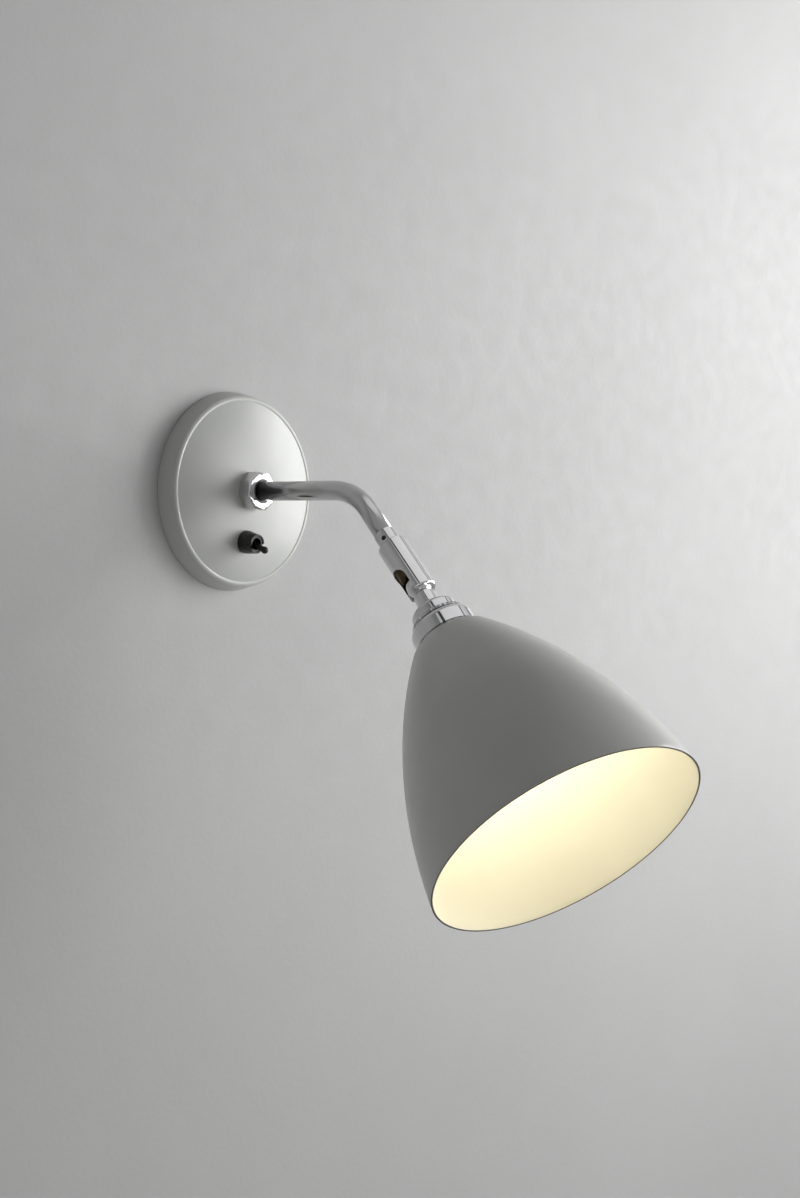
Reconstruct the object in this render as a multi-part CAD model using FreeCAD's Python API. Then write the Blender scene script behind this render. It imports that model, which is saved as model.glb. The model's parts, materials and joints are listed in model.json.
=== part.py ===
import FreeCAD, Part
import math
import os

# Bedside wall reading lamp. Millimetres, +Z up, the wall is the plane Y = 0 and the lamp stands
# out towards -Y. The origin is the centre of the wall plate's back face.

# ---- driving dimensions ----------------------------------------------------------------------
# wall rose
cover_radius = 60.0        # the rose against the wall
rim_radius = 57.0          # the rose at its front edge
rim_depth = 11.0           # wall to the front edge
dome_depth = 17.5          # wall to the flat seat of the gland nut
dome_bulge = 1.6           # rise of the dome over a straight cone
seat_radius = 12.0         # flat seat in the middle of the dome
rim_round = 2.2            # rolled front edge
cover_wall = 1.2
plate_wall = 1.5
plate_flange_depth = 6.0
plate_clearance = 0.3      # wall plate inside the rose
hole_clearance = 0.1       # radial, round threads and loose inserts
cable_entry_radius = 9.0
wall_screw_offset = 35.0   # wall screw holes, each side of the middle
wall_screw_hole = 2.25
cover_screw_radius = 1.5
cover_screw_turns = (90, -90)
screw_slot_width = 0.7
screw_slot_depth = 0.9
cut_over = 1.0             # how far a cut runs past a face

# gland and swivel
tube_radius = 5.75
tube_bore = 4.65
running_fit = 0.08         # radial, on everything that turns
seat_gap = 0.3             # axial, between faces that turn on each other
gland_thread_radius = 8.0
gland_flange_radius = 11.8
gland_flange_depth = 3.0
gland_neck_length = 6.8    # in front of the rose
cup_radius = 11.0
cup_bore = 8.4
cup_depth = 6.6
end_ring_depth = 1.6
end_ring_hole = 4.8
nut_flats = 22.0           # across flats
nut_sides = 8
nut_depth = 9.0
nut_lip = 1.9              # in front of the thread
nut_hole = 7.3
nut_chamfer = 1.8          # in from the flats at the front
nut_bevel = 1.5
bush_recess = 0.3
collar_depth = 3.4         # stop collar on the tube's inner end
peg_radius = 0.9
peg_circle = 7.0
peg_seat = 2.0
stop_margin = 1.0          # degrees left at each end of the swing
swivel_range = 90.0        # each way
washer_wall = 0.5
washer_play = 1.0          # radial, round the tube
wave_count = 3

# arm
bend_reach = 101.0         # wall to the corner of the bend
bend_radius = 40.0
bend_angle = 45.0

# slotted ball knuckle, stations from the corner of the bend
adapter_start = 35.3
adapter_radius = 6.45
adapter_seat = 42.0        # how far the tube reaches
adapter_bore_gap = 0.03
adapter_edge = 0.5
sleeve_start = 44.5
sleeve_end = 80.7
sleeve_radius = 8.7
sleeve_bore = 7.3
sleeve_edge = 0.7
seat_start_radius = 7.0    # where the ball's seat begins in the bore
bulkhead = 6.0
pivot_radius = 4.0
pivot_bore = 2.6
pivot_nut_depth = 2.6
pivot_nut_flats = 11.0
spring_count = 3
spring_pitch = 1.5
spring_wall = 0.5
spring_inner = 4.2
ball_station = 76.5
ball_radius = 7.15
ball_gap = 0.12
pad_chamfer = 1.0
slot_start = 62.5
slot_clearance = 0.25      # each side of the ball's neck
slot_turn = 36.0           # from straight sideways towards the underside
grub_station = 41.2
grub_radius = 1.4
grub_turn = -15.0
grub_recess = 0.1
grub_wall = 0.25
wire_bore = 2.2

# head, stations from the middle of the ball
head_lean = 3.0            # towards the slot
groove_radius = 4.4
groove_end = 6.0
neck_radius = 6.3
neck_chamfer = 1.0
cap_gap = 0.1              # axial, the cap turns between neck and nut
cap_top = 17.3
cap_radius = 13.2
cap_round = 2.6
cap_wall = 1.3
cap_end = 27.4
cap_ring_start = 24.9
cap_ring_radius = 15.7
stem_thread_radius = 5.0
stem_nut_depth = 3.0
stem_nut_flats = 14.0
skirt_start = 27.7
skirt_shoulder = 31.3
skirt_end = 38.3
skirt_top_radius = 15.2
skirt_radius = 18.6
skirt_wall = 1.2
ring_radius = 18.2
ring_depth = 2.0
knurl_teeth = 60
knurl_depth = 0.55
barrel_radius = 14.2
barrel_bore = 11.6
barrel_start = 22.5
barrel_neck_wall = 1.2
barrel_end = 57.0
inner_ring_radius = 18.0
inner_ring_depth = 4.0
inner_ring_teeth = 24
shade_wall = 1.1
shade_length = 135.9       # from the upper ring to the mouth
shade_mouth_radius = 76.7
shade_seat_radius = 18.6   # flat top round the upper ring
shade_shoulder_radius = 24.5
shade_shoulder_drop = 3.7
shade_shoulder_bow = 0.1   # rise of an arc over its chord, as a share of the chord
shade_wall_bow = 0.066

# lamp
insert_start = 28.5
insert_end = 42.0
contact_radius = 1.6
contact_offset = 4.2
contact_seat = 1.0
wire_way_offset = 6.7
bulb_cap_radius = 11.0
bulb_cap_start = 44.6
bulb_cap_length = 25.0
bulb_cap_base = 2.0
bulb_radius = 22.5
bulb_centre = 92.0
bulb_neck_depth = 6.0      # glass cemented in the cap
bulb_neck_bow = 0.05
bulb_join_share = 0.64     # where the neck meets the globe, as a share of its radius
bulb_wall = 0.8
bayonet_pin_radius = 1.0
bayonet_station = 51.5
bayonet_recess = 0.6       # the pins stay inside the barrel

# switch
switch_drop = 30.5         # below the middle
switch_ring_depth = 10.0
switch_ring_back = 6.9
switch_ring_band = 1.5     # plain band before the taper
switch_seat_gap = 0.05
switch_ring_front = 5.8
switch_thread_radius = 4.9
switch_mouth = 3.7         # the bore flares for the lever
switch_recess = 0.6
switch_notch = 1.5
switch_body_width = 20.0
switch_body_height = 14.0
switch_body_depth = 9.5
switch_body_gap = 0.5      # under the curved rose
tab_length = 5.0
tab_width = 5.0
tab_wall = 0.8
lever_throw = 12.0         # each side of straight out
lever_radius = 1.75
lever_tip_radius = 2.2
lever_length = 9.5         # beyond the ring
lever_pivot_depth = 5.5    # behind the ring's face
lever_ball_radius = 2.8
lever_foot_radius = 1.0    # flat under the ball

# terminals on the wall plate
block_rise = 32.0
block_width = 26.0
block_height = 11.0
block_depth = 9.0
block_ways = 3
block_pitch = 7.6
block_way_rise = 2.8       # wire holes above the block's foot
block_way_radius = 1.3
terminal_screw_radius = 1.5
terminal_screw_foot = 3.7
terminal_screw_sink = 0.8
earth_offset = 24.0
earth_drop = 26.0
earth_head_radius = 3.2
earth_head_depth = 2.0

# ---- sizes that follow from these ------------------------------------------------------------
plate_radius = (cover_radius - cover_wall - plate_clearance
                - (cover_radius - rim_radius) * plate_flange_depth / rim_depth)
cover_screw_station = (plate_wall + plate_flange_depth) / 2
cover_screw_end = cover_radius - cover_wall / 2
gland_seat = dome_depth - cover_wall
gland_back = gland_seat - gland_flange_depth
gland_front = dome_depth + gland_neck_length
cup_end = gland_back - cup_depth
collar_end = gland_back - seat_gap
collar_start = collar_end - collar_depth
washer_start = cup_end + end_ring_depth
washer_depth = collar_start - seat_gap - washer_start
nut_back = dome_depth
nut_front = dome_depth + nut_depth
bulkhead_end = sleeve_start + bulkhead
pivot_end = sleeve_start + bulkhead + seat_gap + pivot_nut_depth
spring_start = pivot_end + seat_gap
pad_start = spring_start + spring_count * spring_pitch
stem_end = cap_top + cap_wall + cap_gap + stem_nut_depth
ring_end = skirt_end + ring_depth
pad_end = ball_station - neck_radius - slot_clearance

O = FreeCAD.Vector(0, 0, 0)
X = FreeCAD.Vector(1, 0, 0)
Y = FreeCAD.Vector(0, 1, 0)
Z = FreeCAD.Vector(0, 0, 1)


# ---- frames ----------------------------------------------------------------------------------
def frame(origin, along, side):
    """A placement whose Z runs along and whose X points to side."""
    z = FreeCAD.Vector(along).normalize()
    y = z.cross(side).normalize()
    x = y.cross(z)
    return FreeCAD.Placement(FreeCAD.Matrix(
        x.x, y.x, z.x, origin.x, x.y, y.y, z.y, origin.y, x.z, y.z, z.z, origin.z, 0, 0, 0, 1))


def turned_direction(angle):
    """Square to the lower arm, angle from straight sideways towards the underside."""
    a = math.radians(angle)
    b = math.radians(bend_angle)
    return FreeCAD.Vector(-math.cos(a), math.sin(a) * math.sin(b), -math.sin(a) * math.cos(b))


bend = math.radians(bend_angle)
lower_arm = FreeCAD.Vector(0, -math.cos(bend), -math.sin(bend))
corner = FreeCAD.Vector(0, -bend_reach, 0)
slot_side = turned_direction(slot_turn)
ball_centre = corner + lower_arm * ball_station
lean = math.radians(head_lean)
head_axis = lower_arm * math.cos(lean) + slot_side * math.sin(lean)
wall_frame = frame(O, -Y, X)
knuckle_frame = frame(corner, lower_arm, slot_side)
head_frame = frame(ball_centre, head_axis, slot_side)


# ---- making solids ---------------------------------------------------------------------------
def bowed(start, end, share):
    """The middle of an arc from start to end that bows out from the axis by a share of its chord."""
    dr = end[0] - start[0]
    dz = end[1] - start[1]
    return ((start[0] + end[0]) / 2 + dz * share, (start[1] + end[1]) / 2 - dr * share, "arc")


def outline(points):
    """A closed wire in the XZ plane through (r, z) points; a third value marks an arc's middle."""
    edges = []
    place = [FreeCAD.Vector(p[0], 0, p[1]) for p in points]
    marks = [len(p) == 3 for p in points]
    count = len(points)
    i = 0
    while i < count:
        after = (i + 1) % count
        if marks[after]:
            end = (i + 2) % count
            edges.append(Part.Arc(place[i], place[after], place[end]).toShape())
            i += 2
        else:
            edges.append(Part.LineSegment(place[i], place[after]).toShape())
            i += 1
    return Part.Wire(edges)


def turned(points):
    """A solid turned about Z from an outline of (r, z) points."""
    return Part.Face(outline(points)).revolve(O, Z, 360)


def disc(radius, start, end):
    return Part.makeCylinder(radius, end - start, FreeCAD.Vector(0, 0, start), Z)


def ring(inner, outer, start, end):
    return disc(outer, start, end).cut(disc(inner, start, end))


def cross_pin(radius, start, end, station, turn=0.0):
    """A cylinder square to Z, from radius start to radius end."""
    a = math.radians(turn)
    out = FreeCAD.Vector(math.cos(a), math.sin(a), 0)
    return Part.makeCylinder(radius, end - start, out * start + Z * station, out)


def block(width, height, start, end, x=0.0, y=0.0):
    corner_point = FreeCAD.Vector(x - width / 2, y - height / 2, start)
    return Part.makeBox(width, height, end - start, corner_point)


def polygon_prism(sides, flats, start, end, turn=0.0):
    """A prism across the given flats."""
    radius = flats / 2 / math.cos(math.pi / sides)
    step = 2 * math.pi / sides
    corners = [FreeCAD.Vector(radius * math.cos(step * (i + 0.5) + turn),
                              radius * math.sin(step * (i + 0.5) + turn), start)
               for i in range(sides)]
    return Part.Face(Part.makePolygon(corners + corners[:1])).extrude(Z * (end - start))


def knurled(radius, teeth, depth, start, end):
    """A prism whose edge has teeth all round."""
    step = math.pi / teeth
    points = []
    for i in range(2 * teeth):
        r = radius - depth * (i % 2)
        points.append(FreeCAD.Vector(r * math.cos(i * step), r * math.sin(i * step), start))
    return Part.Face(Part.makePolygon(points + points[:1])).extrude(Z * (end - start))


def save(shape, name, placement=None):
    solid = shape.copy()
    if placement is not None:
        solid.Placement = placement.multiply(solid.Placement)
    solid.exportStep("parts/" + name + ".step")
    box = solid.BoundBox
    print("%-18s valid %s solids %d volume %.0f box %.1f %.1f %.1f / %.1f %.1f %.1f" % (
        name, solid.isValid(), len(solid.Solids), solid.Volume,
        box.XMin, box.YMin, box.ZMin, box.XMax, box.YMax, box.ZMax))
    return solid


# ---- wall rose -------------------------------------------------------------------------------
dome_edge = rim_radius - rim_round
dome_arc = Part.Arc(
    FreeCAD.Vector(dome_edge, 0, rim_depth),
    FreeCAD.Vector((dome_edge + seat_radius) / 2, 0, (rim_depth + dome_depth) / 2 + dome_bulge),
    FreeCAD.Vector(seat_radius, 0, dome_depth)).toShape().Curve


def dome_height(radius, inset=0.0):
    """Depth of the dome at a radius, measured inset below its outer face."""
    reach = dome_arc.Radius - inset
    return dome_arc.Center.z + math.sqrt(reach ** 2 - (radius - dome_arc.Center.x) ** 2)


def cover_solid(inset):
    """The dished rose as a filled form, drawn inset from its outer face."""
    slope = (cover_radius - rim_radius) / rim_depth
    front = rim_depth - rim_round
    side = cover_radius - slope * front - inset
    edge = dome_edge - inset / 2
    middle = (edge + seat_radius) / 2
    bead = (side - edge) * math.sqrt(0.5)
    top = dome_height(edge, inset)
    return turned([
        (cover_radius - inset, 0.0), (side, front),
        (edge + bead, front + (top - front) * math.sqrt(0.5), "arc"), (edge, top),
        (middle, dome_height(middle, inset), "arc"), (seat_radius, dome_height(seat_radius, inset)),
        (0.0, dome_height(seat_radius, inset)), (0.0, 0.0)])


# the switch stands square to the dome below the middle
switch_slope = math.asin((switch_drop - dome_arc.Center.x) / dome_arc.Radius)
switch_axis = FreeCAD.Vector(0, -math.cos(switch_slope), -math.sin(switch_slope))
switch_frame = frame(FreeCAD.Vector(0, -dome_height(switch_drop), -switch_drop), switch_axis, X)
switch_pivot = switch_ring_depth - lever_pivot_depth
switch_body_front = -cover_wall - switch_body_gap


def make_cover():
    shell = cover_solid(0.0).cut(cover_solid(cover_wall))
    shell = shell.cut(disc(gland_thread_radius + hole_clearance, 0, 2 * dome_depth))
    switch_hole = disc(switch_thread_radius + hole_clearance, -2 * cover_wall, 2 * cover_wall)
    switch_hole.Placement = wall_frame.inverse().multiply(switch_frame)
    shell = shell.cut(switch_hole)
    for turn in cover_screw_turns:
        shell = shell.cut(cross_pin(cover_screw_radius + hole_clearance, plate_radius - plate_wall,
                                    cover_radius + cut_over, cover_screw_station, turn))
    return shell


def make_wall_plate():
    plate = turned([
        (cable_entry_radius, 0), (plate_radius, 0), (plate_radius, plate_flange_depth),
        (plate_radius - plate_wall, plate_flange_depth), (plate_radius - plate_wall, plate_wall),
        (cable_entry_radius, plate_wall)])
    for side in (-1, 1):
        hole = disc(wall_screw_hole, 0, plate_wall)
        hole.translate(X * side * wall_screw_offset)
        plate = plate.cut(hole)
    for turn in cover_screw_turns:
        plate = plate.cut(cross_pin(cover_screw_radius, plate_radius - 2 * plate_wall,
                                    plate_radius + cut_over, cover_screw_station, turn))
    return plate


def make_cover_screws():
    screws = []
    for turn in cover_screw_turns:
        screw = cross_pin(cover_screw_radius, plate_radius - 2 * plate_wall, cover_screw_end,
                          cover_screw_station, turn)
        socket = cross_pin(cover_screw_radius / 2, cover_screw_end - screw_slot_depth, cover_screw_end,
                           cover_screw_station, turn)
        screws.append(screw.cut(socket))
    return Part.makeCompound(screws)


# ---- gland and swivel ------------------------------------------------------------------------
def make_gland_body():
    """Flanged brass bush: threaded neck in front, cup for the stop collar behind."""
    body = turned([
        (tube_radius + running_fit, gland_back), (tube_radius + running_fit, gland_front),
        (gland_thread_radius, gland_front), (gland_thread_radius, gland_seat),
        (gland_flange_radius, gland_seat), (gland_flange_radius, gland_back),
        (cup_radius, gland_back), (cup_radius, cup_end), (cup_bore, cup_end),
        (cup_bore, gland_back)])
    hole = disc(peg_radius, gland_back, gland_back + peg_seat)
    hole.translate(Y * peg_circle)
    return body.cut(hole)


def make_stop_peg():
    peg = disc(peg_radius, collar_start + seat_gap, gland_back + peg_seat)
    peg.translate(Y * peg_circle)
    return peg


def make_stop_collar():
    """Ring on the tube's inner end; its notch runs against the peg at each end of the swing."""
    outer = cup_bore - seat_gap
    collar = ring(tube_radius, outer, collar_start, collar_end)
    side = math.degrees(math.asin((peg_radius + running_fit) / peg_circle))
    start = 90 - swivel_range - side - stop_margin
    sector = Part.makeCylinder(2 * outer, collar_depth, Z * collar_start, Z,
                               2 * (swivel_range + side + stop_margin))
    sector.rotate(O, Z, start)
    land = peg_circle - peg_radius - seat_gap
    return collar.cut(sector.cut(disc(land, collar_start, collar_end)))


def make_wave_washer():
    """Flat washer with raised waves that press the stop collar forward."""
    inner = tube_radius + washer_play
    outer = cup_bore - seat_gap
    flat = washer_start + washer_wall
    wave = ring(inner, outer, washer_start, flat)
    keep = ring(inner, outer, flat, washer_start + washer_depth)
    for i in range(wave_count):
        ridge = cross_pin(washer_depth - washer_wall, inner + seat_gap, outer - seat_gap, flat,
                          (i + 0.25) * 360 / wave_count)
        wave = wave.fuse(ridge.common(keep))
    return wave


def make_end_ring():
    body = ring(end_ring_hole, cup_bore, cup_end, cup_end + end_ring_depth)
    for turn in (0, 180):
        body = body.cut(cross_pin(end_ring_depth / 2, 0, cup_radius, cup_end, turn))
    return body


def make_gland_nut():
    nut = polygon_prism(nut_sides, nut_flats, nut_back, nut_front)
    corner_radius = nut_flats / 2 / math.cos(math.pi / nut_sides)
    wide = corner_radius + cut_over
    cone = turned([(0, nut_back), (wide, nut_back), (wide, nut_front - nut_bevel),
                   (nut_flats / 2 - nut_chamfer, nut_front), (0, nut_front)])
    nut = nut.common(cone)
    nut = nut.cut(disc(gland_thread_radius, nut_back, nut_front - nut_lip))
    return nut.cut(disc(nut_hole, nut_back, nut_front))


def make_friction_bush():
    bore = tube_radius + running_fit
    flange = gland_thread_radius - hole_clearance
    neck = nut_hole - hole_clearance
    shoulder = nut_front - nut_lip
    front = nut_front - bush_recess
    return turned([(bore, gland_front), (flange, gland_front), (flange, shoulder),
                   (neck, shoulder), (neck, front), (bore, front)])


# ---- arm -------------------------------------------------------------------------------------
def bent_bar(radius, start, end):
    """A bar along the arm's line: straight out of the wall, round the bend, down to the end."""
    setback = bend_radius * math.tan(bend / 2)
    out = Part.makeCylinder(radius, bend_reach - setback - start, -Y * start, -Y)
    hub = FreeCAD.Vector(0, setback - bend_reach, -bend_radius)
    section = Part.Face(Part.Wire(Part.makeCircle(radius, FreeCAD.Vector(0, hub.y, 0), Y)))
    elbow = section.revolve(hub, X, bend_angle)
    down = Part.makeCylinder(radius, end - setback, corner + lower_arm * setback, lower_arm)
    return out.fuse([elbow, down]).removeSplitter()


def make_arm_tube():
    return bent_bar(tube_radius, collar_start, adapter_seat).cut(
        bent_bar(tube_bore, collar_start, adapter_seat))


# ---- slotted ball knuckle --------------------------------------------------------------------
def make_adapter():
    """Turned adapter: socket for the tube, then the hollow pivot that the sleeve turns on."""
    bore = tube_radius + adapter_bore_gap
    edge = adapter_edge
    body = turned([
        (bore, adapter_start), (adapter_radius - edge, adapter_start),
        (adapter_radius, adapter_start + edge), (adapter_radius, sleeve_start - seat_gap),
        (pivot_radius, sleeve_start - seat_gap), (pivot_radius, pivot_end),
        (pivot_bore, pivot_end), (pivot_bore, adapter_seat), (bore, adapter_seat)])
    return body.cut(cross_pin(grub_radius, bore, adapter_radius + cut_over, grub_station,
                              grub_turn - slot_turn))


def make_grub_screw():
    start = tube_radius + adapter_bore_gap
    turn = grub_turn - slot_turn
    screw = cross_pin(grub_radius, start, adapter_radius - grub_recess, grub_station, turn)
    return screw.cut(cross_pin(grub_radius / 2, start + grub_wall, adapter_radius, grub_station, turn))


def make_pivot_nut():
    nut = polygon_prism(6, pivot_nut_flats, bulkhead_end + seat_gap, pivot_end)
    return nut.cut(disc(pivot_radius, bulkhead_end, pivot_end + cut_over))


def make_sleeve():
    """Spun sleeve with a seat for the ball at its open end and one round-ended slot."""
    seat = ball_radius + ball_gap
    deep = sleeve_end - ball_station
    lip = math.sqrt(seat ** 2 - deep ** 2)
    enter = ball_station + math.sqrt(seat ** 2 - seat_start_radius ** 2)
    middle = (enter + sleeve_end) / 2
    edge = sleeve_edge
    body = turned([
        (pivot_radius + running_fit, sleeve_start), (sleeve_radius - edge, sleeve_start),
        (sleeve_radius, sleeve_start + edge), (sleeve_radius, sleeve_end - edge),
        (sleeve_radius - edge, sleeve_end), (lip, sleeve_end),
        (math.sqrt(seat ** 2 - (middle - ball_station) ** 2), middle, "arc"),
        (seat_start_radius, enter), (sleeve_bore, enter), (sleeve_bore, bulkhead_end),
        (pivot_radius + running_fit, bulkhead_end)])
    half = neck_radius + slot_clearance
    wide = sleeve_radius + cut_over
    slot = block(wide, 2 * half, slot_start + half, sleeve_end + cut_over, wide / 2)
    slot = slot.fuse(cross_pin(half, 0, wide, slot_start + half))
    return body.cut(slot)


def make_disc_springs():
    """Coned washers, stacked in turn, that press the pad on the ball."""
    springs = []
    inner = spring_inner
    outer = sleeve_bore - hole_clearance
    rise = spring_pitch - spring_wall - hole_clearance
    for i in range(spring_count):
        low = spring_start + i * spring_pitch
        at_inner, at_outer = (rise, 0) if i % 2 else (0, rise)
        springs.append(turned([
            (inner, low + at_inner), (outer, low + at_outer),
            (outer, low + at_outer + spring_wall), (inner, low + at_inner + spring_wall)]))
    return Part.makeCompound(springs)


def make_pressure_pad():
    """Brass pad, hollow behind, with a round seat on the ball."""
    outer = sleeve_bore - hole_clearance
    pad = turned([
        (wire_bore, pad_start), (outer, pad_start), (outer, pad_end - pad_chamfer),
        (outer - pad_chamfer, pad_end), (wire_bore, pad_end)])
    return pad.cut(Part.makeSphere(ball_radius + running_fit, Z * ball_station))


def make_ball_stem():
    """Ball, groove, neck and threaded end turned in one, bored for the wires."""
    top = math.sqrt(ball_radius ** 2 - wire_bore ** 2)
    at_groove = math.sqrt(ball_radius ** 2 - groove_radius ** 2)
    return turned([
        (wire_bore, -top), (ball_radius, 0, "arc"), (groove_radius, at_groove),
        (groove_radius, groove_end), (neck_radius - neck_chamfer, groove_end),
        (neck_radius, groove_end + neck_chamfer), (neck_radius, cap_top - cap_gap),
        (stem_thread_radius, cap_top - cap_gap), (stem_thread_radius, stem_end),
        (wire_bore, stem_end)])


def make_stem_nut():
    start = cap_top + cap_wall + cap_gap
    nut = polygon_prism(6, stem_nut_flats, start, start + stem_nut_depth)
    return nut.cut(disc(stem_thread_radius, start, start + stem_nut_depth))


# ---- lampholder ------------------------------------------------------------------------------
def make_holder_cap():
    """Spun cap with a rounded shoulder, open below."""
    inner = cap_radius - cap_wall
    turn = cap_round * (1 - math.sqrt(0.5))
    inside = cap_round - cap_wall / 2
    inside_turn = inside * (1 - math.sqrt(0.5))
    bore = stem_thread_radius + running_fit
    return turned([
        (bore, cap_top), (cap_radius - cap_round, cap_top), (cap_radius - turn, cap_top + turn, "arc"),
        (cap_radius, cap_top + cap_round), (cap_radius, cap_end), (inner, cap_end),
        (inner, cap_top + cap_wall + inside), (inner - inside_turn, cap_top + cap_wall + inside_turn, "arc"),
        (inner - inside, cap_top + cap_wall), (bore, cap_top + cap_wall)])


def make_cap_ring():
    body = knurled(cap_ring_radius, knurl_teeth, knurl_depth, cap_ring_start, cap_end)
    edge = knurl_depth
    cone = turned([(0, cap_ring_start), (cap_ring_radius - edge, cap_ring_start),
                   (cap_ring_radius, cap_ring_start + edge), (cap_ring_radius, cap_end), (0, cap_end)])
    return body.common(cone).cut(disc(cap_radius, cap_ring_start, cap_end))


def make_holder_skirt():
    """Chrome skirt: rounded shoulder, straight side, hollow round the barrel."""
    inner_top = skirt_start + skirt_wall
    diagonal = math.sqrt(0.5)
    mid_radius = skirt_top_radius + (skirt_radius - skirt_top_radius) * diagonal
    mid_station = skirt_start + (skirt_shoulder - skirt_start) * (1 - diagonal)
    return turned([
        (barrel_radius, skirt_start), (skirt_top_radius, skirt_start),
        (mid_radius, mid_station, "arc"), (skirt_radius, skirt_shoulder),
        (skirt_radius, skirt_end), (skirt_radius - skirt_wall, skirt_end),
        (skirt_radius - skirt_wall, skirt_shoulder),
        (mid_radius - skirt_wall * diagonal, mid_station + skirt_wall * diagonal, "arc"),
        (skirt_top_radius - skirt_wall / 2, inner_top), (barrel_radius, inner_top)])


def make_upper_ring():
    body = knurled(ring_radius, knurl_teeth, knurl_depth, skirt_end, ring_end)
    return body.cut(disc(barrel_radius, skirt_end, ring_end))


def make_inner_ring():
    start = ring_end + shade_wall
    body = knurled(inner_ring_radius, inner_ring_teeth, knurl_depth, start, start + inner_ring_depth)
    return body.cut(disc(barrel_radius, start, start + inner_ring_depth))


def make_barrel():
    """Threaded barrel with the seat for the insert and two bayonet slots at its open end."""
    neck = cap_radius - cap_wall
    bore = neck - barrel_neck_wall
    barrel = turned([
        (bore, barrel_start), (neck, barrel_start), (neck, cap_end), (barrel_radius, cap_end),
        (barrel_radius, barrel_end), (barrel_bore, barrel_end), (barrel_bore, insert_start),
        (bore, insert_start)])
    half = bayonet_pin_radius + seat_gap
    wide = barrel_radius + cut_over
    for turn in (0, 180):
        slot = block(wide, 2 * half, bayonet_station, barrel_end + cut_over, wide)
        slot = slot.fuse(cross_pin(half, wide / 2, wide, bayonet_station))
        slot.rotate(O, Z, turn)
        barrel = barrel.cut(slot)
    return barrel


def make_insert():
    """Porcelain insert with two wells for the contacts and two wire ways."""
    body = disc(barrel_bore - hole_clearance, insert_start, insert_end)
    for side in (-1, 1):
        well = disc(contact_radius + hole_clearance, insert_start, insert_end)
        well.translate(X * side * contact_offset)
        body = body.cut(well)
        way = disc(wire_bore, insert_start, insert_end)
        way.translate(Y * side * wire_way_offset)
        body = body.cut(way)
    return body


def make_contacts():
    pins = []
    for side in (-1, 1):
        pin = disc(contact_radius, insert_start + contact_seat, bulb_cap_start - seat_gap)
        pin.translate(X * side * contact_offset)
        pins.append(pin)
    return Part.makeCompound(pins)


# ---- shade and bulb --------------------------------------------------------------------------
def shade_points(inset):
    """Neck, shoulder and mouth of the bell with the arcs between, inset from its outer face."""
    neck = (shade_seat_radius, ring_end)
    shoulder = (shade_shoulder_radius, ring_end + shade_shoulder_drop)
    mouth = (shade_mouth_radius, ring_end + shade_length)
    upper = arc_inside(neck, shoulder, shade_shoulder_bow, inset)
    wall = arc_inside(shoulder, mouth, shade_wall_bow, inset)
    return [(shade_seat_radius, ring_end + inset), upper[1], wall[0], wall[1],
            (shade_mouth_radius - inset, ring_end + shade_length)]


def arc_inside(start, end, bow, inset):
    """Start and middle of a bowed arc, moved towards its centre by inset."""
    middle = bowed(start, end, bow)
    arc = Part.Arc(*[FreeCAD.Vector(p[0], 0, p[1]) for p in (start, middle, end)]).toShape().Curve
    share = inset / arc.Radius
    moved = [(p[0] + (arc.Center.x - p[0]) * share, p[1] + (arc.Center.z - p[1]) * share)
             for p in (start, middle)]
    return moved[0], moved[1] + ("arc",)


def make_shade():
    """Spun bell: flat neck held between the rings, tight shoulder, one long curve to the mouth."""
    hole = barrel_radius + hole_clearance
    outside = shade_points(0.0)
    inside = shade_points(shade_wall)
    return turned([(hole, ring_end)] + outside + inside[::-1] + [(hole, ring_end + shade_wall)])


def make_bulb_cap():
    end = bulb_cap_start + bulb_cap_length
    cap = disc(bulb_cap_radius, bulb_cap_start, end)
    cap = cap.cut(disc(bulb_cap_radius - bulb_wall, bulb_cap_start + bulb_cap_base, end))
    for turn in (0, 180):
        cap = cap.fuse(cross_pin(bayonet_pin_radius, bulb_cap_radius - bulb_wall / 2,
                                 barrel_radius - bayonet_recess, bayonet_station, turn))
    return cap


def make_bulb_glass():
    """Round envelope blown thin, open where it is cemented in the cap."""
    neck = bulb_cap_radius - bulb_wall - hole_clearance
    return bulb_solid(bulb_radius, neck).cut(bulb_solid(bulb_radius - bulb_wall, neck - bulb_wall))


def bulb_solid(radius, neck):
    mouth = bulb_cap_start + bulb_cap_length
    leave = (neck, mouth + seat_gap)
    join = (radius * bulb_join_share, bulb_centre - radius * math.sqrt(1 - bulb_join_share ** 2))
    return turned([(0, mouth - bulb_neck_depth), (neck, mouth - bulb_neck_depth), leave,
                   bowed(leave, join, bulb_neck_bow), join,
                   (radius, bulb_centre, "arc"), (0, bulb_centre + radius)])


# ---- switch ----------------------------------------------------------------------------------
def make_switch_body():
    """Moulded box behind the rose with its threaded bush, bored and flared for the lever."""
    back = switch_body_front - switch_body_depth
    box = block(switch_body_width, switch_body_height, back, switch_body_front)
    bush = disc(switch_thread_radius, switch_body_front, switch_ring_depth - switch_recess)
    socket = lever_ball_radius + running_fit
    pocket = turned([
        (0, switch_pivot - 2 * lever_ball_radius), (socket, switch_pivot - 2 * lever_ball_radius),
        (socket, switch_pivot), (switch_mouth, switch_ring_depth), (0, switch_ring_depth)])
    return box.fuse(bush).cut(pocket)


def make_switch_ring():
    """Tapered black ring nut with a key slot across its face."""
    cone = turned([
        (0, switch_seat_gap), (switch_ring_back, switch_seat_gap), (switch_ring_back, switch_ring_band),
        (switch_ring_front, switch_ring_depth), (0, switch_ring_depth)])
    over = switch_ring_depth + cut_over
    nut = cone.cut(disc(switch_thread_radius, -cut_over, over))
    return nut.cut(block(3 * switch_ring_back, switch_notch, switch_ring_depth - switch_notch, over))


def make_switch_tabs():
    tabs = []
    low = switch_body_front - switch_body_depth / 2
    for side in (-1, 1):
        x = side * (switch_body_width + tab_length) / 2
        tabs.append(block(tab_length, tab_width, low, low + tab_wall, x))
    return Part.makeCompound(tabs)


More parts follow.
